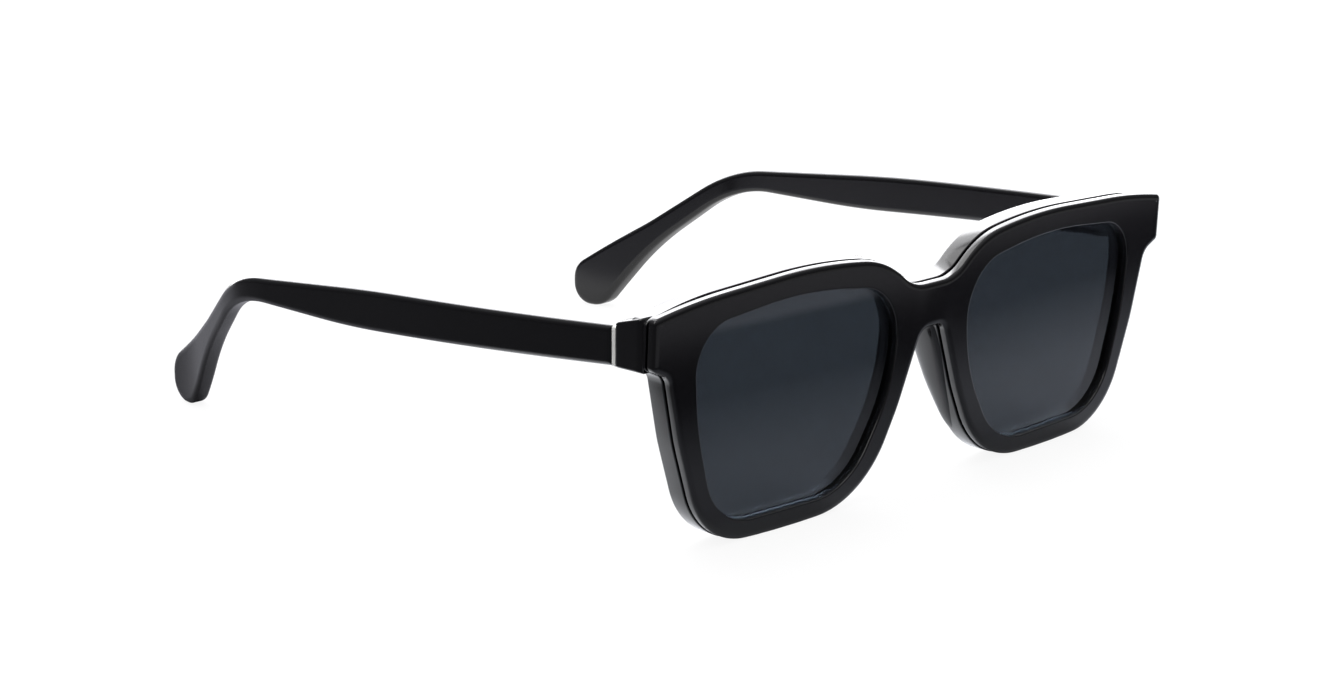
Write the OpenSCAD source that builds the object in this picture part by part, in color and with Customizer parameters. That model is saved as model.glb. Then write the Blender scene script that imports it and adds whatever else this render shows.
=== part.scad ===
// Eyeglasses with a clip-on: a black acetate frame with clear lenses, and a thin
// front plate with tinted lenses that magnets hold on it. Millimetres.
// X points to the wearer's left, Y from the lenses back to the ears, Z up, with the
// origin on the ground under the middle of the glasses. They stand on the feet of
// both rims and on both temple tips, at Z = 0.

/* [Front] */
// Width of each lens opening
opening_w = 52.4; // [48:0.2:56]
// Height of each lens opening
opening_h = 39.6; // [36:0.2:43]
// Space between the two lens openings at the bridge
bridge_gap = 20.8; // [18.4:0.2:23]
// Height of the bridge's upper edge
bridge_top_z = 40; // [38:0.2:43]
// Height of the arch under the bridge
arch_z = 31.2; // [28:0.2:34]
// Width of the rim under each opening
foot_w = 3.8; // [3:0.1:5]
// Width of the brow over each opening
brow_w = 5; // [4:0.1:6]
// Width of the front beside each opening, out to the end of the endpiece
end_w = 10.8; // [9.6:0.1:13]
// Width of the rim beside each opening, under the endpiece
side_w = 3.5; // [3:0.1:5]
// Thickness of the frame's front
front_t = 4; // [3.4:0.1:5]
// Height of the endpiece where it meets the rim
endpiece_h = 9.8; // [8:0.1:11]
// Backward turn of each half of the front, in degrees
wrap = 1.8; // [0:0.1:4]
// Forward lean of the front as the glasses stand, in degrees
lean = 2.5; // [0:0.1:4]

/* [Frame lenses] */
// Thickness of the clear lens
lens_t = 1.8; // [1.2:0.1:2.4]
// Depth of the groove in the rim that holds the lens
groove_d = 0.8; // [0.5:0.1:1.2]

/* [Clip-on plate] */
// Thickness of the clip-on plate
clip_t = 1.8; // [1.6:0.1:2.6]
// Air between the clip-on plate and the frame
clip_gap = 0.4; // [0.3:0.05:1]
// Distance that the clip-on plate stays inside the frame's outline
clip_inset = 0.4; // [0:0.1:1]
// Thickness of the tinted lens
tint_t = 0.8; // [0.6:0.1:1]
// Overlap of the tinted lens behind the plate's rim
tint_lap = 1; // [0.6:0.1:1.4]

/* [Temples] */
// Distance from the face of the clip-on plate to the joint, at the hinge
butt_y = 10.2; // [9.4:0.1:12]
// Thickness of the temple
temple_t = 4; // [3.2:0.1:5]
// Height of the temple at the hinge
temple_h = 7.3; // [6.4:0.1:9]
// Distance from the top of the brow down to the temple's upper edge at the hinge
temple_drop = 6.3; // [5.4:0.1:8]
// Distance from the joint to the bend
bend_y = 102.8; // [94:0.2:110]
// Distance from the joint to the rearmost point of the tip
tip_y = 138.8; // [132:0.2:146]
// Radius of the tip's rear corner
tip_r = 4.6; // [3.6:0.1:5]
// Distance that the tip turns in from the hinge, seen from above
tip_in = 13.4; // [9:0.2:16]
// Radius of the outward bow in front of the bend, seen from above
bow_r = 400; // [300:10:600]
// Radius of the inward turn at the bend, seen from above
hook_r = 55; // [40:1:70]
// Thickness of the bright plate on the temple's front end
plate_t = 0.6; // [0.4:0.1:1]
// Radius of the steel core wire
core_r = 0.7; // [0.5:0.05:0.9]

/* [Hinges] */
// Radius of the hinge barrels
barrel_r = 1.6; // [1.4:0.05:1.8]
// Height of one hinge barrel
barrel_h = 0.86; // [0.7:0.02:1]
// Radius of the hinge screw
screw_r = 0.6; // [0.5:0.05:0.8]
// Radial clearance of the hinge screw
screw_play = 0.03; // [0.01:0.01:0.06]

/* [Nose pads] */
// Length of a nose pad
pad_l = 26.6; // [20:0.2:28]
// Greatest radius of a nose pad
pad_r = 3.1; // [2.4:0.1:3.6]

/* [Magnets] */
// Radius of a magnet
magnet_r = 1.5; // [1:0.1:2]
// Thickness of a magnet
magnet_t = 1; // [0.6:0.1:1.2]

/* [Hidden] */

arc_fn = 96;
wide_fn = 360;
arc_err = 0.015;
acetate = [0.13, 0.13, 0.15];
steel = [0.75, 0.76, 0.78];
clear = [0.85, 0.9, 0.92, 0.35];
tint = [0.2, 0.21, 0.25, 0.85];

half_w = bridge_gap / 2 + opening_w + end_w;
front_h = foot_w + opening_h + brow_w;
temple_top_z = front_h - temple_drop;
seat_gap = 0.04;
body_gap = 0.3;
past = 60;

// Depth from the brow's foremost line to the temple tips, which centred() halves
brow_y = -(bridge_top_z + 2.4) * sin(lean);
middle_y = (brow_y + butt_y + tip_y) / 2;

// The front's own frame: X along the brow, Y back from the clip-on plate's face at
// the bridge, Z up the rims. stand() leans it and sets its feet on the ground.
frame_y = clip_t + clip_gap;
foot_x = 38;
front_lift = -(frame_y + front_t + foot_x * tan(wrap)) * sin(lean);

// The opening's edges and its corners, each [x, z, radius]
open_in = bridge_gap / 2;
open_out = open_in + opening_w;
open_low = foot_w;
open_top = foot_w + opening_h;
OPENING = [
    [open_in + 0.5, open_low + 17.8, 33],
    [open_in + 11.3, open_low - 0.1, 15.7],
    [open_out - 6.3, open_low + 0.2, 12.3],
    [open_out - 0.9, open_top - 20, 59],
    [open_out + 0.8, open_top - 2.2, 8.8],
    [open_in + 25, open_top + 0.6, 90],
    [open_in - 0.5, open_top - 3, 11],
];
// Half of the frame's outline, from the arch round to the top of the bridge. The
// first and last corner lie past the middle, where half_front() cuts.
OUTLINE = [
    [-9, arch_z, 0],
    [3.1, arch_z, 2.9],
    [open_in - 1.8, arch_z - 14, 43],
    [open_in + 7, 0, 20.4],
    [open_out - 3.9, 0, 15.4],
    [open_out + side_w, open_top - 22.4, 34],
    [half_w - 4.2, front_h - 4.8 - endpiece_h, 3.2],
    [half_w, front_h - 2.9 - endpiece_h, 1.4],
    [half_w, front_h - 2.9, 1.4],
    [open_out + 1.2, front_h - 1.3, 130],
    [open_in + 21, front_h, 136],
    [open_in + 3.4, front_h - 2.1, 22],
    [6.1, bridge_top_z, 9.6],
    [-9, bridge_top_z, 0],
];

// The hinge axis stands upright at the joint, inside the temple's inner face
joint_x = half_w - 0.2;
pin_x = joint_x - temple_t - barrel_r - 0.2;
pin_y = butt_y;
endpiece_y = butt_y - body_gap;
temple_y = butt_y + plate_t + seat_gap;
hinge_z = temple_top_z - temple_h / 2 - 0.2;
barrel_gap = 0.06;
barrel_pitch = barrel_h + barrel_gap;
leaf_h = 4 * barrel_pitch + barrel_h;
leaf_z = hinge_z - leaf_h / 2;
head_h = 0.5;
head_r = 1.15;

// The temple's side view, each corner [y, z, radius]: a slim bend, then a wider tip
neck_y = butt_y + bend_y;
neck_z = temple_top_z - 8.1;
tip_end_y = butt_y + tip_y;
temple_low_z = temple_top_z - temple_h;
SIDE = [
    [temple_y, temple_low_z, 0],
    [neck_y - 35, neck_z - 3.9, 250],
    [neck_y - 1, neck_z - 3.9, 25],
    [tip_end_y - 18.8, 14.8, 60],
    [tip_end_y - 7.8, 0, 5],
    [tip_end_y - 0.1, 0, tip_r],
    [tip_end_y + 0.1, 8.6, 5.5],
    [tip_end_y - 18.2, 20.7, 50],
    [neck_y, neck_z, 30],
    [neck_y - 43, neck_z + 4.5, 500],
    [temple_y, temple_top_z, 0],
];
// The plan of its outer face, each corner [x, y, radius]: a wide bow, a turn inwards at
// the bend and a turn back at the tip. The outline is closed far inside the glasses.
bow_out = 3.8;
PLAN = [
    [0, 0, 0],
    [joint_x - 1, 0, 0],
    [joint_x - 1 + bow_out, temple_y + 31, bow_r],
    [joint_x + 0.25, neck_y - 1, hook_r],
    [joint_x - tip_in, tip_end_y - 5.1, 40],
    [joint_x - tip_in - 1.4, 3 * past, 0],
    [0, 3 * past, 0],
];
leaf_turn = atan2(bow_out, temple_y + 31);

function unit(v) = v / norm(v);

// Corner i of a closed outline that runs anticlockwise: the corner, the directions to
// its neighbours, half the angle between them, and 1 outside or -1 inside
function corner(p, i) =
    let (n = len(p), at = [p[i][0], p[i][1]])
    let (before = p[(i + n - 1) % n], after = p[(i + 1) % n])
    let (a = unit([before[0], before[1]] - at), b = unit([after[0], after[1]] - at))
    [at, a, b, acos(a * b) / 2, sign(b[0] * a[1] - b[1] * a[0])];

// The points of the arc of radius r that rounds the corner, no chord more than
// arc_err off it
function arc_points(c, r) =
    let (centre = c[0] + unit(c[1] + c[2]) * r / sin(c[3]))
    let (from = c[0] + c[1] * r / tan(c[3]) - centre, start = atan2(from[1], from[0]))
    let (turn = c[4] * (180 - 2 * c[3]), steps = ceil(abs(turn) / (2 * acos(1 - arc_err / r))))
    [for (k = [0 : steps]) centre + r * [cos(start + turn * k / steps), sin(start + turn * k / steps)]];

// The same outline moved inwards by d; outside corners tighten, inside ones widen
function moved_in(p, d) = [
    for (i = [0 : len(p) - 1])
        let (c = corner(p, i), to = c[0] + unit(c[1] + c[2]) * c[4] * d / sin(c[3]))
        [to[0], to[1], p[i][2] > 0 ? max(p[i][2] - c[4] * d, 0.2) : 0]
];

// The radius that corner i gets: less than asked where two arcs would share an edge
// that is too short for both
function fitted(p, i) =
    let (n = len(p), next = (i + 1) % n, last = (i + n - 1) % n)
    p[i][2] * min(1, edge_share(p, i, next), edge_share(p, i, last));

function edge_share(p, i, j) =
    let (edge = norm([p[j][0] - p[i][0], p[j][1] - p[i][1]]), both = run(p, i) + run(p, j))
    both > 0 ? 0.995 * edge / both : 1;

// How far the arc of corner i reaches along its edges
function run(p, i) = p[i][2] / tan(corner(p, i)[3]);

// A closed outline with its corners rounded
module rounded(p) {
    polygon([
        for (i = [0 : len(p) - 1])
            each p[i][2] > 0 ? arc_points(corner(p, i), fitted(p, i)) : [corner(p, i)[0]]
    ]);
}

module stand() {
    translate([0, 0, front_lift])
        rotate([lean, 0, 0])
            children();
}

// The sub-parts are drawn from the clip-on plate's face back, and moved here
module centred() {
    translate([0, -middle_y, 0])
        children();
}

// The wearer's left side as drawn, or its mirror image on the right
module side(name) {
    mirror([name == "right" ? 1 : 0, 0, 0])
        children();
}

module side_piece(name) {
    centred()
        side(name)
            children();
}

// An outline of the front, drawn in X and Z, made solid from depth y0 to y1
module slab(y0, y1) {
    rotate([0, 0, wrap])
        translate([0, y1, 0])
            rotate([90, 0, 0])
                linear_extrude(y1 - y0)
                    children();
}

// One half of the front, cut at the bridge's middle
module half_front(y0, y1) {
    intersection() {
        slab(y0, y1)
            children();
        translate([0, -past / 2, -past / 2])
            cube([2 * past, past, 2 * past]);
    }
}

module both_halves(y0, y1) {
    for (name = ["right", "left"])
        side(name)
            half_front(y0, y1)
                children();
}

// Frame

module front_frame() {
    color(acetate)
        centred()
            difference() {
                union() {
                    stand()
                        both_halves(frame_y, frame_y + front_t)
                            frame_outline();
                    for (name = ["right", "left"])
                        side(name)
                            endpiece();
                }
                for (name = ["right", "left"])
                    side(name) {
                        stand() {
                            lens_groove();
                            magnet_pocket(frame_y, magnet_t + seat_gap);
                        }
                        front_leaf_plate(seat_gap);
                    }
                translate([-past * 2, -past, -past])
                    cube([past * 4, past * 2, past]);
            }
}

module frame_outline() {
    difference() {
        rounded(OUTLINE);
        rounded(OPENING);
    }
}

// The endpiece runs back from the rim to the joint and narrows to the temple
module endpiece() {
    root_y = frame_y + front_t / 2 + half_w * tan(wrap) - hinge_z * sin(lean);
    root_top_z = temple_top_z + 1.7;
    translate([joint_x - temple_t, 0, 0])
        rotate([90, 0, 90])
            linear_extrude(half_w - joint_x + temple_t)
                polygon([
                    [root_y, temple_low_z],
                    [endpiece_y, temple_low_z],
                    [endpiece_y, temple_top_z],
                    [root_y, root_top_z],
                ]);
}

module lens_groove() {
    mid_y = frame_y + front_t / 2;
    slab(mid_y - lens_t / 2 - seat_gap, mid_y + lens_t / 2 + seat_gap)
        rounded(moved_in(OPENING, -groove_d - seat_gap));
}

// A clear lens, its edge in the rim's groove
module demo_lens(name) {
    mid_y = frame_y + front_t / 2;
    color(clear)
        side_piece(name)
            stand()
                slab(mid_y - lens_t / 2, mid_y + lens_t / 2)
                    rounded(moved_in(OPENING, -groove_d));
}

module demo_lens_right() {
    demo_lens("right");
}

module demo_lens_left() {
    demo_lens("left");
}

// A nose pad is a spindle glued along the rim's nose side, cut flush with it
module nose_pad(name) {
    low = [open_in + 3.6, 8.4];
    high = [open_in - 5.1, 26.4];
    tilt = atan2(high[0] - low[0], high[1] - low[1]);
    color(acetate)
        side_piece(name)
            difference() {
                stand()
                    rotate([0, 0, wrap])
                        translate([(low[0] + high[0]) / 2, frame_y + front_t, (low[1] + high[1]) / 2])
                            rotate([0, tilt, 0])
                                spindle(pad_l, pad_r);
                stand()
                    half_front(-past / 2, frame_y + front_t + seat_gap)
                        rounded(moved_in(OUTLINE, -seat_gap));
                translate([-past, -past, -past])
                    cube([past * 2, past * 2, past]);
            }
}

module spindle(long, r) {
    arc_r = (long * long / 4 + r * r) / (2 * r);
    rotate_extrude($fn = arc_fn)
        intersection() {
            translate([r - arc_r, 0])
                circle(r = arc_r, $fn = wide_fn);
            translate([0, -long])
                square([r, 2 * long]);
        }
}

module nose_pad_right() {
    nose_pad("right");
}

module nose_pad_left() {
    nose_pad("left");
}

// Magnets

magnet_at = [half_w - 5.4, front_h - 2.9 - endpiece_h / 2];

module magnet_pocket(y0, depth) {
    rotate([0, 0, wrap])
        translate([magnet_at[0], y0 - seat_gap, magnet_at[1]])
            rotate([-90, 0, 0])
                cylinder(r = magnet_r + seat_gap, h = depth + seat_gap, $fn = arc_fn);
}

module magnet(name, y0) {
    color(steel)
        side_piece(name)
            stand()
                rotate([0, 0, wrap])
                    translate([magnet_at[0], y0, magnet_at[1]])
                        rotate([-90, 0, 0])
                            cylinder(r = magnet_r, h = magnet_t, $fn = arc_fn);
}

module frame_magnet_right() {
    magnet("right", frame_y);
}

module frame_magnet_left() {
    magnet("left", frame_y);
}

// Hinges

leaf_root = [joint_x - temple_t - 4.8, endpiece_y - 5.4];
leaf_plate_w = 4.2;
leaf_plate_t = 3.2;

// The part of the front leaf that is sunk in the back of the endpiece
module front_leaf_plate(grow) {
    translate([leaf_root[0] - grow, leaf_root[1] - grow, leaf_z - grow])
        cube([leaf_plate_w + 2 * grow, leaf_plate_t + 2 * grow, leaf_h + 2 * grow]);
}

module barrel(level) {
    translate([pin_x, pin_y, leaf_z + level * barrel_pitch])
        cylinder(r = barrel_r, h = barrel_h, $fn = arc_fn);
}

module screw_bore() {
    translate([pin_x, pin_y, leaf_z - 1])
        cylinder(r = screw_r + screw_play, h = leaf_h + 2, $fn = arc_fn);
}

// Three barrels on a plate sunk in the endpiece
module front_leaf(name) {
    web_x = pin_x - barrel_r;
    web_w = leaf_root[0] + leaf_plate_w - web_x;
    web_y = leaf_root[1] + leaf_plate_t - 0.5;
    color(steel)
        side_piece(name)
            difference() {
                union() {
                    front_leaf_plate(0);
                    for (level = [0, 2, 4]) {
                        barrel(level);
                        translate([web_x, web_y, leaf_z + level * barrel_pitch])
                            cube([web_w, pin_y - web_y, barrel_h]);
                    }
                }
                screw_bore();
            }
}

module front_leaf_right() {
    front_leaf("right");
}

module front_leaf_left() {
    front_leaf("left");
}

// The screw, with a slotted head over the top barrel
module hinge_screw(name) {
    slot_w = 0.3;
    slot_d = 0.25;
    color(steel)
        side_piece(name)
            translate([pin_x, pin_y, leaf_z])
                difference() {
                    union() {
                        cylinder(r = screw_r, h = leaf_h + 0.1, $fn = arc_fn);
                        translate([0, 0, leaf_h + 0.02])
                            cylinder(r = head_r, h = head_h, $fn = arc_fn);
                    }
                    translate([-head_r, -slot_w / 2, leaf_h + 0.02 + head_h - slot_d])
                        cube([2 * head_r, slot_w, slot_d + 1]);
                }
}

module hinge_screw_right() {
    hinge_screw("right");
}

module hinge_screw_left() {
    hinge_screw("left");
}

// Temples

module temple(name) {
    color(acetate)
        side_piece(name)
            difference() {
                intersection() {
                    translate([past / 2, 0, 0])
                        rotate([90, 0, 90])
                            linear_extrude(past)
                                rounded(SIDE);
                    translate([0, 0, -1])
                        linear_extrude(past)
                            difference() {
                                rounded(PLAN);
                                rounded(moved_in(PLAN, temple_t));
                            }
                }
                temple_leaf_plate(seat_gap);
                core_run(core_r + seat_gap);
            }
}

// A steel wire through the middle of the temple, from the hinge leaf to the bend. It
// bows a little less than the temple and drops with it.
module core_run(r) {
    core_bow_r = 1.6 * bow_r;
    core_mid_y = 60;
    core_start = temple_y + 14 - core_mid_y;
    core_l = bend_y - 26;
    core_drop = 3.7;
    grow = r - core_r;
    translate([joint_x + 0.1 - core_bow_r, core_mid_y, temple_top_z - 6.8])
        rotate([-core_drop, 0, 0])
            intersection() {
                rotate_extrude($fn = wide_fn)
                    translate([core_bow_r, 0])
                        circle(r = r, $fn = arc_fn);
                translate([0, core_start - grow, -past / 2])
                    cube([core_bow_r + past, core_l + 2 * grow, past]);
            }
}

module core_wire_right() {
    color(steel)
        side_piece("right")
            core_run(core_r);
}

module core_wire_left() {
    color(steel)
        side_piece("left")
            core_run(core_r);
}

module temple_right() {
    temple("right");
}

module temple_left() {
    temple("left");
}

temple_leaf_l = 11;
temple_leaf_t = 1.4;

// The part of the temple leaf that is sunk in the temple's inner face
module temple_leaf_plate(grow) {
    translate([joint_x - temple_t, temple_y, 0])
        rotate([0, 0, -leaf_turn])
            translate([-0.7 - grow, 1.5 - grow, leaf_z - grow])
                cube([temple_leaf_t + 2 * grow, temple_leaf_l + 2 * grow, leaf_h + 2 * grow]);
}

// Two barrels on a plate sunk in the temple
module temple_leaf(name) {
    color(steel)
        side_piece(name)
            difference() {
                union() {
                    temple_leaf_plate(0);
                    for (level = [1, 3]) {
                        barrel(level);
                        translate([pin_x, pin_y, leaf_z + level * barrel_pitch])
                            cube([joint_x - temple_t - pin_x, temple_y + 3 - pin_y, barrel_h]);
                    }
                }
                screw_bore();
            }
}

module temple_leaf_right() {
    temple_leaf("right");
}

module temple_leaf_left() {
    temple_leaf("left");
}

// A bright metal plate on the temple's front end
module end_plate(name) {
    color(steel)
        side_piece(name)
            translate([joint_x - temple_t, butt_y, temple_low_z])
                cube([temple_t, plate_t, temple_h]);
}

module end_plate_right() {
    end_plate("right");
}

module end_plate_left() {
    end_plate("left");
}

// Clip-on

tint_seat_t = tint_t + 0.1;

module clip_frame() {
    color(acetate)
        centred()
            stand()
                difference() {
                    both_halves(0, clip_t)
                        difference() {
                            rounded(moved_in(OUTLINE, clip_inset));
                            rounded(OPENING);
                        }
                    for (name = ["right", "left"])
                        side(name) {
                            slab(clip_t - tint_seat_t, clip_t + 1)
                                rounded(moved_in(OPENING, -tint_lap - seat_gap));
                            magnet_pocket(clip_t - magnet_t, magnet_t + 1);
                        }
                }
}

// A tinted lens, let into the back of the clip-on plate
module clip_lens(name) {
    color(tint)
        side_piece(name)
            stand()
                slab(clip_t - tint_t, clip_t)
                    rounded(moved_in(OPENING, -tint_lap));
}

module clip_lens_right() {
    clip_lens("right");
}

module clip_lens_left() {
    clip_lens("left");
}

module clip_magnet_right() {
    magnet("right", clip_t - magnet_t);
}

module clip_magnet_left() {
    magnet("left", clip_t - magnet_t);
}

front_frame();
demo_lens_right();
demo_lens_left();
nose_pad_right();
nose_pad_left();
front_leaf_right();
front_leaf_left();
hinge_screw_right();
hinge_screw_left();
frame_magnet_right();
frame_magnet_left();
temple_right();
temple_left();
core_wire_right();
core_wire_left();
temple_leaf_right();
temple_leaf_left();
end_plate_right();
end_plate_left();
clip_frame();
clip_lens_right();
clip_lens_left();
clip_magnet_right();
clip_magnet_left();
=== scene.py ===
import math

import bpy
import bmesh
import numpy as np
from mathutils import Matrix, Vector
from mathutils.geometry import delaunay_2d_cdt


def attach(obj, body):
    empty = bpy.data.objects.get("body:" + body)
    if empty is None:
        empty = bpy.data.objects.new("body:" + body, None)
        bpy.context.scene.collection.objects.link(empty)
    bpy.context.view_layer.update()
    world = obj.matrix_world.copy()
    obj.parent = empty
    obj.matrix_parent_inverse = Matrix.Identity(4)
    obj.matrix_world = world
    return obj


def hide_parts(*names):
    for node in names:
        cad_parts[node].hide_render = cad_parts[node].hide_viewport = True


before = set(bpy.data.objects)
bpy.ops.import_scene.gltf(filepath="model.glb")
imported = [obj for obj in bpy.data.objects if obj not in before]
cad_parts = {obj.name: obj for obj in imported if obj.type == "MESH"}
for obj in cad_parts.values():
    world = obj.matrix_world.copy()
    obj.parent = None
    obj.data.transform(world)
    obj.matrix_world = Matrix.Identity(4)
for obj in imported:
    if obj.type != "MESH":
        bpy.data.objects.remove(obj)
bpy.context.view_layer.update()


# Front frame
# One piece of black acetate, milled from a 4 mm sheet, turned back a little at the bridge
# and polished in a drum, which rounds every edge. Its endpieces run back to the hinges.

# Millimetres, with X to the wearer's left, Y from the lenses back and Z up from the table
BRIDGE_GAP, OPENING_W, OPENING_H = 20.8, 52.4, 39.6
FOOT_W, BROW_W, END_W, SIDE_W = 3.8, 5.0, 10.8, 3.5
BRIDGE_TOP, ARCH_Z, BROW_RISE, FOOT_X = 40.0, 31.2, 2.4, 38
WRAP, BEND_HALF, LEAN = math.radians(1.8), 6, math.radians(2.5)
CLIP_T, CLIP_GAP, FRONT_T = 1.8, 0.4, 4.0
FRAME_Y = CLIP_T + CLIP_GAP
BUTT_Y, TIP_Y = 10.2, 138.8
# The middle is taken between the brow's foremost point and the temple tips. The leaning
# front is let down until the back of its feet, at FOOT_X, is on the table.
MIDDLE_Y = (BUTT_Y + TIP_Y - (BRIDGE_TOP + BROW_RISE) * math.sin(LEAN)) / 2
FRONT_LIFT = -(FRAME_Y + FRONT_T + FOOT_X * math.tan(WRAP)) * math.sin(LEAN)

open_in = BRIDGE_GAP / 2
open_out = open_in + OPENING_W
open_low, open_top = FOOT_W, FOOT_W + OPENING_H
half_w, front_h = open_out + END_W, open_top + BROW_W

# Corners of one lens opening and of half the outline, each [x, z, radius], anticlockwise
opening_corners = np.array([
    [open_in + 0.5, open_low + 17.8, 33],
    [open_in + 11.3, open_low - 0.1, 15.7],
    [open_out - 6.3, open_low + 0.2, 12.3],
    [open_out - 0.9, open_top - 20, 59],
    [open_out + 0.8, open_top - 2.2, 8.8],
    [open_in + 25, open_top + 0.6, 90],
    [open_in - 0.5, open_top - 3, 11],
])
half_outline = np.array([
    [3.1, ARCH_Z, 2.9],
    [open_in - 1.8, ARCH_Z - 14, 43],
    [open_in + 6.7, 0.6, 21],
    [open_in + 28.6, -0.2, 190],
    [open_out - 3.6, 0.7, 16],
    [open_out + SIDE_W, open_top - 22.4, 34],
    [half_w - 4.2, front_h - 14.6, 3.2],
    [half_w, front_h - 12.7, 1.4],
    [half_w, front_h - 3.4, 1.4],
    [open_out + 1.2, front_h - 1.65, 130],
    [open_in + 21, front_h, 122],
    [open_in + 3.4, front_h - 2.1, 22],
    [6.1, BRIDGE_TOP, 9.6],
])
MIRROR = np.array([-1, 1, 1])
outline_corners = np.vstack([half_outline, (half_outline * MIRROR)[::-1]])


def corner_facts(corners):
    """For each corner of a closed outline: the unit directions to the corner before and
    after it, half the angle between them, +1 at an outside or -1 at an inside corner, and
    the step between its two sides to the point one unit away from both."""
    at = corners[:, :2]
    before, after = np.roll(at, 1, axis=0) - at, np.roll(at, -1, axis=0) - at
    before /= np.linalg.norm(before, axis=1)[:, None]
    after /= np.linalg.norm(after, axis=1)[:, None]
    half = np.arccos((before * after).sum(axis=1)) / 2
    side = np.sign(after[:, 0] * before[:, 1] - after[:, 1] * before[:, 0])
    inwards = (before + after) / (2 * np.cos(half) * np.sin(half))[:, None]
    return before, after, half, side, inwards


# The smallest radius of a moved arc, and the widest turn between two of its points
SMALLEST_R, WIDEST_TURN = 0.12, math.radians(6)


def outline(corners, inset=0.0, spacing=0.9):
    """Points of the closed outline moved inwards by inset, at most spacing apart: at each
    corner an arc of its radius less the inset, on a centre along the bisector, then a
    straight run to the next arc. The number of points comes from the outline before it is
    moved, so that outlines of different insets match point for point."""
    before, after, half, side, inwards = corner_facts(corners)
    radius = corners[:, 2]
    moved = corners[:, :2] + inwards * (side * inset)[:, None]
    tight = np.maximum(radius - side * inset, SMALLEST_R)
    centre = moved + inwards * tight[:, None]
    start = moved + before * (tight / np.tan(half))[:, None] - centre
    first = np.arctan2(start[:, 1], start[:, 0])
    sweep = side * (math.pi - 2 * half)
    ends = corners[:, :2] + after * (radius / np.tan(half))[:, None]
    starts = np.roll(corners[:, :2] + before * (radius / np.tan(half))[:, None], -1, axis=0)
    turned = np.abs(sweep)
    arc_n = np.ceil(np.maximum(turned / WIDEST_TURN, turned * radius / spacing)).astype(int)
    run_n = np.maximum(np.ceil(np.linalg.norm(starts - ends, axis=1) / spacing), 1).astype(int)
    arcs = []
    for i in range(len(corners)):
        turn = first[i] + sweep[i] * np.arange(arc_n[i] + 1) / arc_n[i]
        arcs.append(centre[i] + tight[i] * np.stack([np.cos(turn), np.sin(turn)], axis=1))
    pieces = []
    for i, arc in enumerate(arcs):
        share = (np.arange(1, run_n[i]) / run_n[i])[:, None]
        pieces += [arc, arc[-1] * (1 - share) + arcs[(i + 1) % len(arcs)][0] * share]
    return np.concatenate(pieces)


def edge_profile(thick, front, back):
    """Pairs (inset, depth) across the edge of a plate: flat, a quarter ellipse of the
    front edge's (width, depth), straight over the plate's thickness, a quarter ellipse of
    the back edge's, and flat again. Two narrow strips of the flat keep its shading even."""
    turn = np.linspace(0, math.pi / 2, 7)
    ahead = np.stack([front[0] * (1 - np.sin(turn)), front[1] * (1 - np.cos(turn))], axis=1)
    behind = np.stack([back[0] * (1 - np.cos(turn)), thick - back[1] * (1 - np.sin(turn))], axis=1)
    strips = np.array([0.25, 0.04])
    before = np.stack([front[0] + strips, [0, 0]], axis=1)
    after = np.stack([back[0] + strips[::-1], [thick, thick]], axis=1)
    return np.vstack([before, ahead, behind, after])


def grid_faces(rows, columns, flip=False):
    """Quads between neighbouring rows of a grid whose rows are closed rings."""
    i, j = np.meshgrid(np.arange(rows - 1), np.arange(columns), indexing="ij")
    k = (j + 1) % columns
    here, below = i * columns, (i + 1) * columns
    quads = np.stack([here + j, here + k, below + k, below + j], axis=-1).reshape(-1, 4)
    return quads[:, ::-1] if flip else quads


def filled(loops, inner=None):
    """Triangles over the flat region that is inside an odd number of the loops, through
    the inner points, as (points, triangles): a Delaunay triangulation that keeps the
    loops' edges, less each triangle whose middle is outside. A ray from the middle
    crosses the loops an odd number of times where it is inside."""
    points = np.vstack(loops + ([inner] if inner is not None else []))
    edges, start = [], 0
    for loop in loops:
        n = len(loop)
        edges.append(np.stack([np.arange(n), (np.arange(n) + 1) % n], axis=1) + start)
        start += n
    edges = np.vstack(edges)
    within_loops, nearest = 1, 1e-6
    out = delaunay_2d_cdt([Vector(p) for p in points.tolist()], edges.tolist(), [],
                          within_loops, nearest)
    flat, triangles = np.array([tuple(p) for p in out[0]]), np.array(out[2])
    middle = flat[triangles].mean(axis=1)[:, None, :]
    a, b = points[edges[:, 0]][None], points[edges[:, 1]][None]
    level = (a[..., 1] > middle[..., 1]) != (b[..., 1] > middle[..., 1])
    rise = np.where(level, b[..., 1] - a[..., 1], 1)
    crossing = a[..., 0] + (middle[..., 1] - a[..., 1]) / rise * (b[..., 0] - a[..., 0])
    inside = (level & (crossing > middle[..., 0])).sum(axis=1) % 2 == 1
    return flat, triangles[inside]


# The points round a pocket, and the scale at which a ring is as good as a point
POCKET_POINTS, AS_A_POINT = 40, 1e-4


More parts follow.
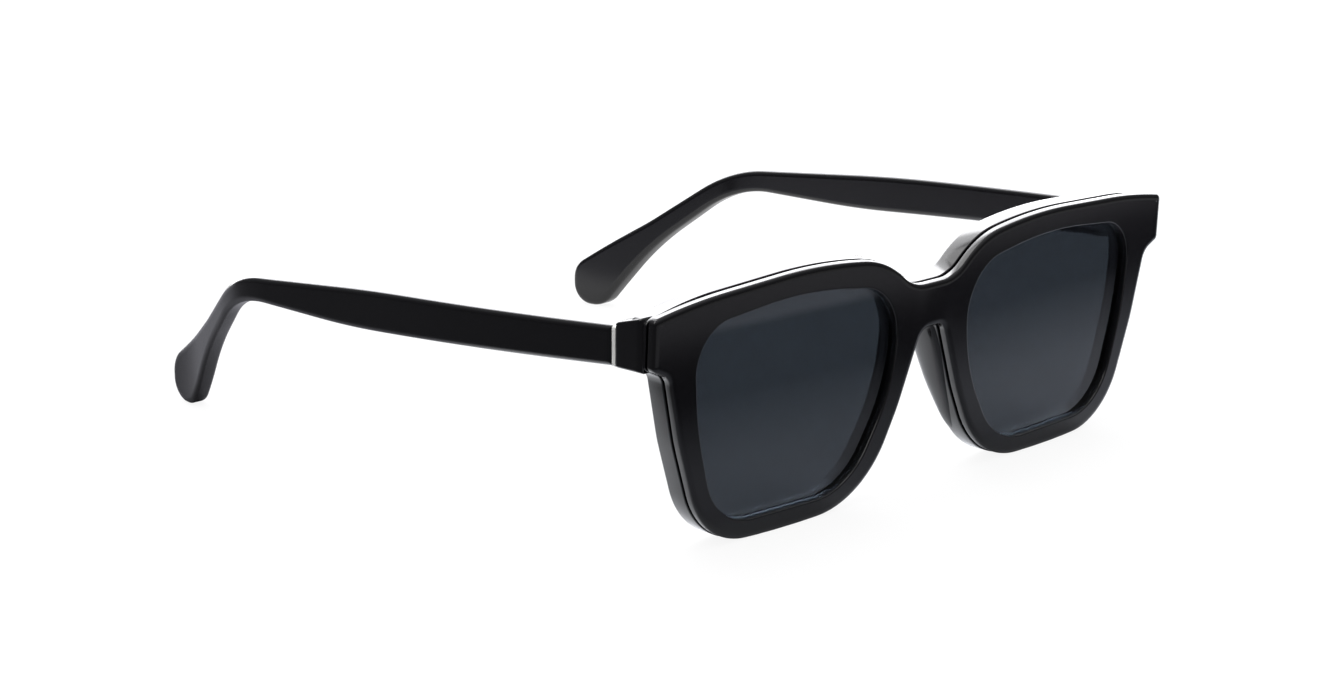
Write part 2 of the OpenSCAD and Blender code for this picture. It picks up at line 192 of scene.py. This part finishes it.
def plate(outer, holes, thick, outer_edge, hole_edge, inner, pockets=()):
    """A plate as (points [u, v, depth], faces): for each outline its edge profile carried
    along it, and the two flat faces filled between, through the inner points. A pocket is
    [u, v, radius, floor, depth of its mouth], a round recess cut into the face that its
    mouth is on."""
    points, faces, rims = [], [], {0: [], 1: []}

    def add(p, f):
        faces.append(np.asarray(f) + sum(len(q) for q in points))
        points.append(p)

    for k, (corners, edge) in enumerate([(outer, outer_edge)] + [(h, hole_edge) for h in holes]):
        sign = 1 if k == 0 else -1
        count = len(outline(corners))
        rows = [np.column_stack([outline(corners, sign * inset), np.full(count, depth)])
                for inset, depth in edge_profile(thick, *edge)]
        add(np.vstack(rows), grid_faces(len(rows), len(rows[0]), flip=k > 0))
        rims[0].append(rows[0][:, :2])
        rims[1].append(rows[-1][:, :2])
    for u, v, r, floor, mouth in pockets:
        turn = np.linspace(0, 2 * math.pi, POCKET_POINTS, endpoint=False)
        ring = np.stack([u + r * np.cos(turn), v + r * np.sin(turn)], axis=1)
        rims[0 if mouth == 0 else 1].append(ring)
        middle = [u, v] + (ring - [u, v]) * AS_A_POINT
        rows = [np.column_stack([around, np.full(len(ring), level)])
                for around, level in ((ring, mouth), (ring, floor), (middle, floor))]
        add(np.vstack(rows), grid_faces(len(rows), len(ring), flip=mouth == 0))
    for side, depth in ((0, 0.0), (1, thick)):
        flat, triangles = filled(rims[side], inner)
        add(np.column_stack([flat, np.full(len(flat), depth)]),
            triangles if side else triangles[:, ::-1])
    return np.vstack(points), faces


def as_mesh(name, points, faces):
    """A mesh object of points in millimetres, with coincident points merged, points that
    belong to no face left out and faces turned outwards."""
    mesh = bpy.data.meshes.new(name)
    polygons = [face for part in faces for face in part.tolist()]
    mesh.from_pydata((points / 1000).tolist(), [], polygons)
    work = bmesh.new()
    work.from_mesh(mesh)
    bmesh.ops.remove_doubles(work, verts=work.verts, dist=2e-6)
    bmesh.ops.dissolve_degenerate(work, edges=work.edges, dist=1e-7)
    bmesh.ops.delete(work, geom=[v for v in work.verts if not v.link_faces], context="VERTS")
    bmesh.ops.recalc_face_normals(work, faces=work.faces)
    for face in work.faces:
        face.smooth = True
    work.to_mesh(mesh)
    work.free()
    piece = bpy.data.objects.new(name, mesh)
    bpy.context.scene.collection.objects.link(piece)
    return piece


def on_front(p):
    """Points [x, z, depth] of a front outline put where the glasses stand: each half is
    turned back about the middle of the bridge, by an angle that rises smoothly up to
    BEND_HALF, the whole leans forward about the table and is let down, and what would be
    under the table is laid flat on it."""
    across, up, depth = p[:, 0], p[:, 1], p[:, 2]
    near = np.clip(np.abs(across) / BEND_HALF, 0, 1)
    turn = WRAP * near * near * (3 - 2 * near)
    x = np.sign(across) * (np.abs(across) * np.cos(turn) - depth * np.sin(turn))
    y = np.abs(across) * np.sin(turn) + depth * np.cos(turn)
    z = y * math.sin(LEAN) + up * math.cos(LEAN) + FRONT_LIFT
    y = y * math.cos(LEAN) - up * math.sin(LEAN) - MIDDLE_Y
    return np.stack([x, y, np.maximum(z, 0)], axis=1)


def bridge_points():
    """A net of points over the bridge, where the front bends."""
    half, margin = BEND_HALF + 0.5, 1.5
    u, v = np.meshgrid(np.linspace(-half, half, 14),
                       np.linspace(ARCH_Z + margin, BRIDGE_TOP - margin, 6))
    return np.stack([u.ravel(), v.ravel()], axis=1)


def both_sides(corners):
    """An outline and its mirror image in the middle of the face, both anticlockwise."""
    return [corners, (corners * MIRROR)[::-1]]


# The frame's own end corners, the outline's ninth from either end, lie a little lower
# than the clip-on plate's, and the brow beside them turns down on a smaller radius
END_CORNER, BROW_CORNER, END_DROP, END_R, BROW_R = 8, 9, 0.8, 1.3, 70
frame_corners = outline_corners.copy()
for end, brow in ((END_CORNER, BROW_CORNER), (-1 - END_CORNER, -1 - BROW_CORNER)):
    frame_corners[end, 1:] = frame_corners[end, 1] - END_DROP, END_R
    frame_corners[brow, 2] = BROW_R

MAGNET_R, MAGNET_T, MAGNET_IN, MAGNET_DROP, SEAT = 1.5, 1.0, 5.4, 7.8, 0.04
magnet_at = np.array([half_w - MAGNET_IN, front_h - MAGNET_DROP])
frame_pockets = [[s * magnet_at[0], magnet_at[1], MAGNET_R + SEAT, MAGNET_T + SEAT, 0.0]
                 for s in (-1, 1)]
# The edges' roundings, each (width, depth) at the front and at the back
RIM_EDGE, OPENING_EDGE = ((0.25, 0.25), (0.6, 0.6)), ((0.3, 0.3), (0.8, 0.8))
frame_points, frame_faces = plate(frame_corners, both_sides(opening_corners), FRONT_T,
                                  RIM_EDGE, OPENING_EDGE, bridge_points(), frame_pockets)
frame_points = on_front(frame_points + [0, 0, FRAME_Y])

# The endpieces: a rounded bar from inside the front back to the joint
TEMPLE_T, TEMPLE_H, TEMPLE_DROP = 4.0, 7.3, 6.3
ENDPIECE_T, JOINT_IN, JOINT_GAP = 4.2, 0.2, 0.3
joint_x = half_w - JOINT_IN
temple_top = front_h - TEMPLE_DROP
temple_low = temple_top - TEMPLE_H
end_y = BUTT_Y - JOINT_GAP


def bar_section(wide, high, r):
    """A rectangle wide by high about its middle: four quarter circles of radius r, each on
    a corner's centre, joined by straight sides."""
    quarter = math.pi / 2
    turn = np.arange(4)[:, None] * quarter + np.linspace(0, quarter, 8)[None, :]
    centre = np.array([[1, 1], [-1, 1], [-1, -1], [1, -1]]) * [wide / 2 - r, high / 2 - r]
    arcs = centre[:, None, :] + r * np.stack([np.cos(turn), np.sin(turn)], axis=-1)
    return arcs.reshape(-1, 2)


def endpiece(sign):
    """Rounded rectangles from inside the front back to the joint, their tops sloping down,
    with the last ones drawn in to round the end, which a flat cap closes."""
    root_y, root_top, end_top, edge_r = 3.3, temple_top + 2.6, temple_top + 0.8, 0.5
    share = np.array([0, 0.25, 0.5, 0.75, 0.92, 0.97, 1.0, 1.0])
    drawn = np.array([0, 0, 0, 0, 0, 0.08, 0.3, 0.8])
    rows = []
    for s, d in zip(share, drawn):
        top = root_top + (end_top - root_top) * s
        section = bar_section(ENDPIECE_T - 2 * d, top - temple_low - 2 * d, max(edge_r - d, 0.2))
        y = root_y + (end_y - root_y) * s
        rows.append(np.column_stack([section[:, 0] + half_w - ENDPIECE_T / 2,
                                     np.full(len(section), y - MIDDLE_Y),
                                     section[:, 1] + (top + temple_low) / 2]))
    n = len(rows[0])
    points = np.vstack(rows)
    points[:, 0] *= sign
    caps = [np.arange(n)[None, :], np.arange(n)[None, ::-1] + n * (len(rows) - 1)]
    return points, [grid_faces(len(rows), n)] + caps


for sign in (-1, 1):
    more, more_faces = endpiece(sign)
    frame_faces += [f + len(frame_points) for f in more_faces]
    frame_points = np.vstack([frame_points, more])
front = as_mesh("front_frame_polished", frame_points, frame_faces)


class Socket:
    """A node's output that takes part in sums and products, each of which adds a Math node."""

    def __init__(self, nodes, socket):
        self.nodes, self.socket = nodes, socket

    def math(self, operation, other):
        return self.nodes.add("ShaderNodeMath", {"operation": operation}, {0: self, 1: other})

    def __add__(self, other):
        return self.math("ADD", other)

    def __mul__(self, other):
        return self.math("MULTIPLY", other)

    __radd__ = __add__
    __rmul__ = __mul__


class Finish:
    """The nodes of a new material, or of a given world. add() makes any node from its
    type, its settings and the values or links of its sockets."""

    def __init__(self, name=None, world=None):
        self.material = world or bpy.data.materials.new(name)
        self.material.use_nodes = True
        self.tree = self.material.node_tree
        self.tree.nodes.clear()

    def add(self, kind, settings=None, sockets=None, out=0):
        node = self.tree.nodes.new(kind)
        for key, value in (settings or {}).items():
            if key == "stops":
                ramp = node.color_ramp
                while len(ramp.elements) < len(value):
                    ramp.elements.new(0.5)
                for element, (at, colour) in zip(ramp.elements, value):
                    element.position, element.color = at, (*colour, 1)
            else:
                setattr(node, key, value)
        for key, value in (sockets or {}).items():
            if isinstance(value, Socket):
                self.tree.links.new(value.socket, node.inputs[key])
            else:
                node.inputs[key].default_value = value
        return Socket(self, node.outputs[out]) if len(node.outputs) else None

    def noise(self, scale, detail=3.0, place=None):
        return self.add("ShaderNodeTexNoise", {}, {"Vector": place or self.place(),
                                                   "Scale": scale, "Detail": detail})

    def place(self):
        """The piece's own Object coordinates."""
        return self.add("ShaderNodeTexCoord", out="Object")

    def mixed(self, factor, a, b):
        """Colour a where the factor is 0, and b where it is 1."""
        return self.add("ShaderNodeMix", {"data_type": "RGBA"}, {0: factor, 6: a, 7: b}, out=2)

    def bump(self, height, distance, strength):
        return self.add("ShaderNodeBump", {}, {"Height": height, "Distance": distance,
                                               "Strength": strength})

    def surface(self, sockets):
        shader = self.add("ShaderNodeBsdfPrincipled", {}, sockets)
        self.add("ShaderNodeOutputMaterial", {}, {"Surface": shader})
        return self.material


def polished_acetate(name, colour, rough):
    """Black cellulose acetate after tumbling and buffing: a faint cloud of colour, long
    shallow waves that the tumbling leaves, and hair-fine polishing marks."""
    m = Finish(name)
    cloud = m.noise(90.0, 4.0)
    marks = m.noise(2600.0, 2.0)
    wave = m.noise(140.0, 2.0)
    lighter = tuple(c * 1.5 for c in colour)
    return m.surface({
        "Base Color": m.mixed(cloud, (*colour, 1), (*lighter, 1)),
        "Roughness": rough + 0.05 * marks,
        "Normal": m.bump(wave * 0.9 + marks * 0.1, 0.00002, 0.5),
        "IOR": 1.49,
    })


ACETATE_BLACK = (0.0028, 0.0028, 0.0034)
front.data.materials.append(polished_acetate("polished_black_acetate", ACETATE_BLACK, 0.12))
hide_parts("front_frame")
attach(front, "front")


# Clear lenses
# A 1.8 mm flat plastic lens in each rim, cut a little larger than the opening and held by
# the groove round it.

LENS_T, GROOVE_D = 1.8, 0.8


def lens(depth, thick, rim):
    """Rings of the opening's outline, enlarged by rim and then shrunk towards its middle,
    on a front face at depth and a back face at thick behind it, joined at the edge."""
    edge = outline(opening_corners, -rim, 1.2)
    middle = (edge.max(axis=0) + edge.min(axis=0)) / 2
    share = np.concatenate([[AS_A_POINT], np.linspace(0.08, 0.97, 14), [0.99, 1.0]])
    rows = [np.column_stack([middle + (edge - middle) * s, np.full(len(edge), level)])
            for shares, level in ((share, depth), (share[::-1], depth + thick)) for s in shares]
    return np.vstack(rows), [grid_faces(len(rows), len(edge))]


def clear_plastic():
    """Clear hard-coated plastic with a faint smear in its colour and gloss."""
    m = Finish("clear_lens_plastic")
    smear = m.noise(60.0)
    return m.surface({"Base Color": m.mixed(smear, (0.96, 0.975, 0.98, 1), (0.99, 0.995, 1.0, 1)),
                      "Roughness": 0.01 + 0.015 * smear, "IOR": 1.5, "Transmission Weight": 1.0})


SIDES = (("right", -1), ("left", 1))
clear = clear_plastic()
clear_points, clear_faces = lens(FRAME_Y + (FRONT_T - LENS_T) / 2, LENS_T, GROOVE_D)
for name, sign in SIDES:
    piece = as_mesh("clear_lens_" + name, on_front(clear_points * [sign, 1, 1]), clear_faces)
    piece.data.materials.append(clear)
    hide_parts("demo_lens_" + name)
    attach(piece, "front")


# Nose pads
# Solid acetate pads glued to the nose side of each rim and blended into it, then
# polished with the frame.

PAD_OUT, PAD_IN, PAD_AHEAD, PAD_BEHIND, PAD_INSET = 1.5, 2.2, 3.25, 4.3, 0.4
PAD_TOP, PAD_FOOT, PAD_REACH, PAD_TAPER = ARCH_Z + 0.3, 1.5, open_in + 5.5, 0.65
PAD_Y, RINGS, ROUND = FRAME_Y + 3.3, 45, 48


def nose_pad(sign):
    """Rings along the rim's nose side, a little inside its outline, each of four quarter
    ellipses: outwards and inwards, towards the front and deeper towards the back. Their
    size is the root of the sine of half a turn times the root of the share of the way
    down, so it swells quickly under the arch and falls slowly to nothing at the foot. The
    depth behind falls faster, in proportion to the share."""
    share = np.linspace(0, 1, RINGS)
    line = outline(outline_corners, PAD_INSET, 0.5)
    beside = (line[:, 0] > 0) & (line[:, 0] < PAD_REACH)
    line = line[beside & (line[:, 1] < PAD_TOP) & (line[:, 1] > PAD_FOOT)]
    line = line[np.argsort(-line[:, 1])]
    along = np.concatenate([[0], np.cumsum(np.linalg.norm(np.diff(line, axis=0), axis=1))])
    centre = np.stack([np.interp(share * along[-1], along, at) for at in line.T], axis=1)
    axis = np.gradient(centre, axis=0)
    axis /= np.linalg.norm(axis, axis=1)[:, None]
    across = np.stack([-axis[:, 1], axis[:, 0]], axis=1)
    swell = np.maximum(np.sin(math.pi * share ** 0.5), 0) ** 0.5
    swell[[0, -1]] = AS_A_POINT
    turn = np.linspace(0, 2 * math.pi, ROUND, endpoint=False)
    half_wide = np.where(np.cos(turn) * across[RINGS // 2, 0] < 0, PAD_OUT, PAD_IN) * np.cos(turn)
    ring = centre[:, None, :] + (swell[:, None] * half_wide)[..., None] * across[:, None, :]
    behind = PAD_BEHIND * (1 - PAD_TAPER * share)[:, None]
    half_deep = np.where(np.sin(turn)[None, :] < 0, PAD_AHEAD, behind) * np.sin(turn)[None, :]
    deep = PAD_Y + swell[:, None] * half_deep
    points = np.concatenate([ring, deep[..., None]], axis=-1).reshape(-1, 3)
    points[:, 0] *= sign
    return on_front(points), [grid_faces(RINGS, ROUND)]


PAD_BLACK = (0.004, 0.004, 0.0048)
pad_acetate = polished_acetate("polished_pad_acetate", PAD_BLACK, 0.13)
for name, sign in SIDES:
    pad = as_mesh("nose_pad_polished_" + name, *nose_pad(sign))
    pad.data.materials.append(pad_acetate)
    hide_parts("nose_pad_" + name)
    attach(pad, "front")


# Hinges, core wires and magnets
# Nickel silver hinge leaves sunk in the acetate, turned steel screws, drawn steel wires
# inside the temples, and nickel-plated disc magnets. They keep their solids and get their
# metal here.


def worked_metal(name, colour, rough, grain, metallic=1.0):
    """Satin metal: a fine grain drawn one way, which varies its roughness and height. A
    ground and blasted surface scatters like a dull one, so it takes less than 1 metallic."""
    m = Finish(name)
    stretched = m.add("ShaderNodeMapping", {}, {"Vector": m.place(),
                                                "Scale": (grain, grain * 0.08, grain)})
    lines = m.noise(1.0, place=stretched)
    spots = m.noise(700.0, 2.0)
    darker = tuple(c * 0.82 for c in colour)
    return m.surface({"Base Color": m.mixed(spots, (*darker, 1), (*colour, 1)),
                      "Metallic": metallic, "Roughness": rough + 0.12 * lines,
                      "Normal": m.bump(lines, 0.00001, 0.4)})


hinge_metal = worked_metal("satin_nickel_silver", (0.62, 0.61, 0.58), 0.26, 5200.0)
screw_metal = worked_metal("turned_screw_steel", (0.66, 0.66, 0.67), 0.2, 7800.0)
wire_metal = worked_metal("drawn_wire_steel", (0.6, 0.6, 0.61), 0.3, 4200.0)
magnet_plating = worked_metal("bright_magnet_plating", (0.74, 0.73, 0.71), 0.14, 1500.0)
for node, finish in (("front_leaf", hinge_metal), ("temple_leaf", hinge_metal),
                     ("hinge_screw", screw_metal), ("core_wire", wire_metal),
                     ("frame_magnet", magnet_plating), ("clip_magnet", magnet_plating)):
    for name, _ in SIDES:
        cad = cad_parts[node + "_" + name]
        cad.data.materials.clear()
        cad.data.materials.append(finish)


# Temples
# Black acetate, heat-formed over a steel core wire: a wide bow from the hinge, a tighter
# curve behind the bend and a paddle-shaped tip. Every edge is rounded by polishing.

PLATE_T = 0.6
TIP_R, TIP_IN, BEND_Y, BEND_DROP, PAST_TIP = 4.6, 13.4, 102.8, 8.1, 180
BOW_R, HOOK_R = 400.0, 55.0
temple_y = BUTT_Y + PLATE_T + SEAT
tip_end = BUTT_Y + TIP_Y
neck = np.array([BUTT_Y + BEND_Y, temple_top - BEND_DROP])

# Corners of the side view [y, z, radius] and of the outer face's plan [x, y, radius],
# which is closed well behind the tip
side_corners = np.array([
    [temple_y, temple_low, 0.25],
    [neck[0] - 35, neck[1] - 3.9, 250],
    [neck[0] - 1, neck[1] - 3.9, 25],
    [tip_end - 18.8, 14.8, 60],
    [tip_end - 7.8, 0, 5],
    [tip_end - 0.1, 0, TIP_R],
    [tip_end + 0.1, 8.6, 5.5],
    [tip_end - 18.2, 20.7, 50],
    [neck[0], neck[1], 30],
    [neck[0] - 43, neck[1] + 4.5, 500],
    [temple_y, temple_top, 0.25],
])
plan_corners = np.array([
    [0, 0, 0],
    [joint_x - 1, 0, 0],
    [joint_x + 2.8, temple_y + 31, BOW_R],
    [joint_x + 0.25, neck[0] - 1, HOOK_R],
    [joint_x - TIP_IN, tip_end - 5.1, 40],
    [joint_x - TIP_IN - 1.4, PAST_TIP, 0],
    [0, PAST_TIP, 0],
])


def plan_line(inset):
    """The plan's outline moved in by inset: its outer stretch, in order of y."""
    line = outline(plan_corners, inset)
    line = line[line[:, 0] > half_w / 2]
    return line[np.argsort(line[:, 1])]


def on_temple(p):
    """Points [y, z, depth under the outer face] laid along the temple as seen from above:
    between the outer and the inner face at the same y, in the share that the depth is of
    the thickness."""
    y, z, depth = p[:, 0], p[:, 1], p[:, 2]
    outer, inner = (np.interp(y, line[:, 1], line[:, 0])
                    for line in (plan_line(0), plan_line(TEMPLE_T)))
    x = outer + (inner - outer) * depth / TEMPLE_T
    return np.stack([x, y - MIDDLE_Y, np.maximum(z, 0)], axis=1)


# Start, end and step of the net over the temple's side
NET_Y, NET_Z = (13, 150, 2.4), (3, 42, 2.1)


def temple_net():
    """A net of points over the temple's side, where it bows."""
    u, v = np.meshgrid(np.arange(*NET_Y), np.arange(*NET_Z))
    return np.stack([u.ravel(), v.ravel()], axis=1)


TEMPLE_EDGE = ((1.3, 0.9), (1.2, 1.0))
flat_points, temple_faces = plate(side_corners, [], TEMPLE_T, TEMPLE_EDGE, None, temple_net())
temple_points = on_temple(flat_points)
temple_acetate = polished_acetate("polished_temple_acetate", ACETATE_BLACK, 0.14)
for name, sign in SIDES:
    temple = as_mesh("temple_polished_" + name, temple_points * [sign, 1, 1], temple_faces)
    temple.data.materials.append(temple_acetate)
    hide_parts("temple_" + name)
    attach(temple, name + "_temple")


# End plates
# A thin satin metal plate on the front end of each temple, ground flush with the acetate
# round it: the bright line at the joint.

PLATE_LIP, PLATE_R, PLATE_EDGE = 0.24, 0.5, ((0.06, 0.06), (0.06, 0.06))
plate_corners = np.array([[-1, -1, 1], [1, -1, 1], [1, 1, 1], [-1, 1, 1]])
plate_points, plate_faces = plate(plate_corners * [TEMPLE_T / 2, TEMPLE_H / 2, PLATE_R], [],
                                  PLATE_T + PLATE_LIP, PLATE_EDGE, None, None)
plate_at = plate_points[:, [0, 2, 1]] + [joint_x - TEMPLE_T / 2, BUTT_Y - PLATE_LIP - MIDDLE_Y,
                                         (temple_top + temple_low) / 2]
plate_metal = worked_metal("satin_end_plate", (0.98, 0.98, 0.94), 0.55, 3000.0, 0.2)
for name, sign in SIDES:
    end = as_mesh("end_plate_ground_" + name, plate_at * [sign, 1, 1], plate_faces)
    end.data.materials.append(plate_metal)
    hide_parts("end_plate_" + name)
    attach(end, name + "_temple")


# Clip-on plate
# A thin front of black plastic with the frame's outline, held on it by two pairs of
# magnets. Its front edge is rounded wide, and each opening has a small chamfer.

CLIP_INSET, CLIP_BLACK = 0.12, (0.0035, 0.0035, 0.004)
CLIP_EDGE, CHAMFER = ((1.2, 0.7), (0.25, 0.25)), ((0.35, 0.35), (0.15, 0.15))
clip_corners = outline_corners.copy()
side, inwards = corner_facts(outline_corners)[-2:]
clip_corners[:, :2] += inwards * (side * CLIP_INSET)[:, None]
clip_corners[:, 2] -= side * CLIP_INSET
clip_pockets = [[s * magnet_at[0], magnet_at[1], MAGNET_R + SEAT, CLIP_T - MAGNET_T, CLIP_T]
                for s in (-1, 1)]
clip_points, clip_faces = plate(clip_corners, both_sides(opening_corners), CLIP_T,
                                CLIP_EDGE, CHAMFER, bridge_points(), clip_pockets)
clip_plate = as_mesh("clip_plate_polished", on_front(clip_points), clip_faces)
clip_plate.data.materials.append(polished_acetate("polished_clip_plastic", CLIP_BLACK, 0.14))
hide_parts("clip_frame")
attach(clip_plate, "clip_on")


# Tinted lenses
# Flat dark lenses let into the back of the clip-on plate, dyed through and polished.

TINT_T, TINT_RIM = 0.6, 0.02
TINT_DARK, TINT_PALE = (0.022, 0.0275, 0.035, 1), (0.025, 0.031, 0.039, 1)


def tinted_plastic():
    """Blue-grey dyed plastic with a faint smear in its colour and gloss."""
    m = Finish("dark_tinted_plastic")
    smear = m.noise(70.0)
    return m.surface({"Base Color": m.mixed(smear, TINT_DARK, TINT_PALE),
                      "Roughness": 0.015 + 0.02 * smear, "IOR": 1.5, "Transmission Weight": 1.0})


tinted = tinted_plastic()
tinted_points, tinted_faces = lens(CLIP_T - TINT_T, TINT_T, TINT_RIM)
for name, sign in SIDES:
    shade = as_mesh("tinted_lens_" + name, on_front(tinted_points * [sign, 1, 1]), tinted_faces)
    shade.data.materials.append(tinted)
    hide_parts("clip_lens_" + name)
    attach(shade, "clip_on")


# Table, light and camera
# A table that is white to the camera, with painted tones and a glowing patch that only
# reflections see, under a white backdrop, a lit wall behind the glasses, two dim panels for
# their polished edges to mirror, soft boxes overhead and at the left, and a long lens.

FLOOR_HALF, FLOOR_GAP = 3000, 0.02
floor_corners = np.array([[-1, -1, 0], [1, -1, 0], [1, 1, 0], [-1, 1, 0]]) * FLOOR_HALF
table = as_mesh("table_top", floor_corners - [0, 0, FLOOR_GAP], [np.array([[0, 1, 2, 3]])])


def in_view(m):
    """1 for rays from the camera, straight or through a lens, and 0 for all others."""
    camera_ray, lens_ray = (m.add("ShaderNodeLightPath", out=out)
                            for out in ("Is Camera Ray", "Is Transmission Ray"))
    return camera_ray.math("MAXIMUM", lens_ray)


# Stretches in metres over which the table's painted reflection tones change, along X and along Y
LEFT_FADE, RIGHT_FADE = (-0.11, -0.08), (0.02, 0.05)
REFLECTION_BANDS, BACK_FADE = (-0.25, 0.05), (-0.01, 0.03)


def painted_reflection_table():
    """White to the camera and through the lenses. Other rays meet painted tones that stand in
    for lit and dark surroundings, painted reflections for the black faces to mirror: grey in
    front, a dark band, grey up to the glasses, white round their feet, grey behind, dark to
    the left and white again at the back right, where the table also glows in glossy rays
    though it is no lamp."""
    m = Finish("table_with_painted_reflections")
    seen = in_view(m)
    side, depth = (m.add("ShaderNodeSeparateXYZ", {}, {0: m.place()}, out=out)
                   for out in ("X", "Y"))

    def rise(value, stretch, kind="SMOOTHSTEP"):
        """0 up to the stretch's start and 1 from its end on."""
        start, end = stretch
        return m.add("ShaderNodeMapRange", {"interpolation_type": kind},
                     {0: value, 1: start, 2: end, 3: 0.0, 4: 1.0})

    # Painted reflection tones along Y, seen by every ray but the camera's: grey in front, a dark
    # band, grey up to the glasses, white round their feet, grey behind
    stops = [(0.0, (0.2, 0.2, 0.2)), (0.29, (0.24, 0.24, 0.26)), (0.305, (0.015, 0.015, 0.02)),
             (0.4, (0.02, 0.02, 0.025)), (0.5, (0.26, 0.27, 0.3)), (0.56, (0.35, 0.36, 0.4)),
             (0.62, (0.95, 0.97, 1.0)), (0.78, (0.95, 0.97, 1.0)), (0.88, (0.24, 0.24, 0.26))]
    along = rise(depth, REFLECTION_BANDS, "LINEAR")
    strips = m.add("ShaderNodeValToRGB", {"stops": stops}, {0: along})
    beside = m.mixed(rise(side, LEFT_FADE), (0.07, 0.07, 0.075, 1), strips)
    # Painted light: a patch at the back right that is white in tone and glows in glossy rays
    # though it is no lamp, a painted bright surround for the tops and top edges to mirror
    painted_bright_patch = rise(side, RIGHT_FADE) * rise(depth, BACK_FADE)
    behind = m.mixed(painted_bright_patch, beside, (0.95, 0.95, 0.97, 1))
    tone = m.mixed(seen, behind, (0.9, 0.9, 0.9, 1))
    lit = m.add("ShaderNodeBsdfDiffuse", {}, {"Color": tone,
                                              "Normal": m.bump(m.noise(40.0), 0.0001, 0.1)})
    glow = m.add("ShaderNodeEmission", {}, {"Color": (1, 1, 1, 1), "Strength": 1.0})
    # Painted light: the back right patch glows, but only in glossy rays
    painted_glow_in_reflections = m.add("ShaderNodeLightPath", out="Is Glossy Ray") * painted_bright_patch
    glowing = 0.9 * seen.math("MAXIMUM", painted_glow_in_reflections)
    both = m.add("ShaderNodeMixShader", {}, {0: glowing, 1: lit, 2: glow})
    m.add("ShaderNodeOutputMaterial", {}, {"Surface": both})
    return m.material


table.data.materials.append(painted_reflection_table())

world = bpy.data.worlds.new("studio")
bpy.context.scene.world = world
sky = Finish(world=world)
direction = sky.add("ShaderNodeTexCoord", out="Generated")
height = sky.add("ShaderNodeSeparateXYZ", {}, {0: direction}, out="Z")
sky_stops = [(0.0, (0.1, 0.1, 0.105)), (0.3, (0.16, 0.16, 0.17)), (0.75, (0.7, 0.7, 0.72)),
             (1.0, (0.9, 0.9, 0.92))]
level = sky.add("ShaderNodeValToRGB", {"stops": sky_stops}, {0: height})
shown = sky.mixed(in_view(sky), level, (1, 1, 1, 1))
backdrop = sky.add("ShaderNodeBackground", {}, {"Color": shown, "Strength": 1.0})
sky.add("ShaderNodeOutputWorld", {}, {"Surface": backdrop})


COOL, WHITE, WARM = (0.98, 0.98, 1.0), (1.0, 1.0, 1.0), (1.0, 1.0, 0.98)


def soft_box(name, place, aim, wide, high, power, colour, diffuse=True):
    """A rectangular lamp at a place, turned to face its aim, its sizes in metres and its
    power in watts. Without diffuse it gives no diffuse light, only reflections."""
    lamp = bpy.data.lights.new(name, "AREA")
    lamp.shape, lamp.size, lamp.size_y = "RECTANGLE", wide, high
    lamp.energy, lamp.color = power, colour
    holder = bpy.data.objects.new(name, lamp)
    holder.location = place
    holder.rotation_euler = (Vector(place) - Vector(aim)).to_track_quat("Z", "Y").to_euler()
    holder.visible_camera = False
    holder.visible_diffuse = diffuse
    bpy.context.scene.collection.objects.link(holder)


soft_box("lit_wall", (0.62, 0.6, 0.44), (0, 0, 0.3), 1.5, 1.0, 26.0, COOL)
soft_box("high_panel", (0.35, 0.75, 0.95), (0, 0, 0.04), 1.2, 0.6, 11.0, COOL, diffuse=False)
soft_box("side_panel", (0.8, 0.1, 0.62), (0, 0, 0.04), 0.5, 0.5, 2.2, COOL, diffuse=False)
soft_box("overhead", (-0.1, 0.1, 0.8), (0, 0, 0), 0.6, 0.6, 4.0, WHITE)
soft_box("left_key", (-0.75, -0.1, 0.8), (0, 0, 0.02), 0.5, 0.5, 3.0, WARM)

# The camera in the front's own upright frame, then leaned and let down with it
LENS_MM, SIDE_SHIFT, UP_SHIFT, DISTANCE, FIT_Z = 92.1, -48.89, 6.72, 639.7, 17.7
AZIMUTH, ELEVATION, ROLL = math.radians(-47.30), math.radians(16.27), math.radians(2.25)
flat = math.cos(ELEVATION)
back = Vector((math.sin(AZIMUTH) * flat, -math.cos(AZIMUTH) * flat, math.sin(ELEVATION)))
right = Vector((math.cos(AZIMUTH), math.sin(AZIMUTH), 0))
up = back.cross(right)
rolled_right = math.cos(ROLL) * right + math.sin(ROLL) * up
rolled_up = -math.sin(ROLL) * right + math.cos(ROLL) * up
stand = SIDE_SHIFT * right + UP_SHIFT * up + DISTANCE * back + Vector((0, 0, FIT_Z))
lean = Matrix.Rotation(LEAN, 3, "X")
axes = lean @ Matrix((rolled_right, rolled_up, back)).transposed()
place = (lean @ stand + Vector((0, -MIDDLE_Y, FRONT_LIFT))) / 1000
photo = bpy.data.cameras.new("photo_view")
photo.lens, photo.sensor_width, photo.sensor_fit = LENS_MM, 36.0, "HORIZONTAL"
photo.clip_start, photo.clip_end = 0.01, 20
camera = bpy.data.objects.new("photo_view", photo)
camera.matrix_world = Matrix.Translation(place) @ axes.to_4x4()
bpy.context.scene.collection.objects.link(camera)
bpy.context.scene.camera = camera
bpy.context.scene.view_settings.view_transform = "Standard"
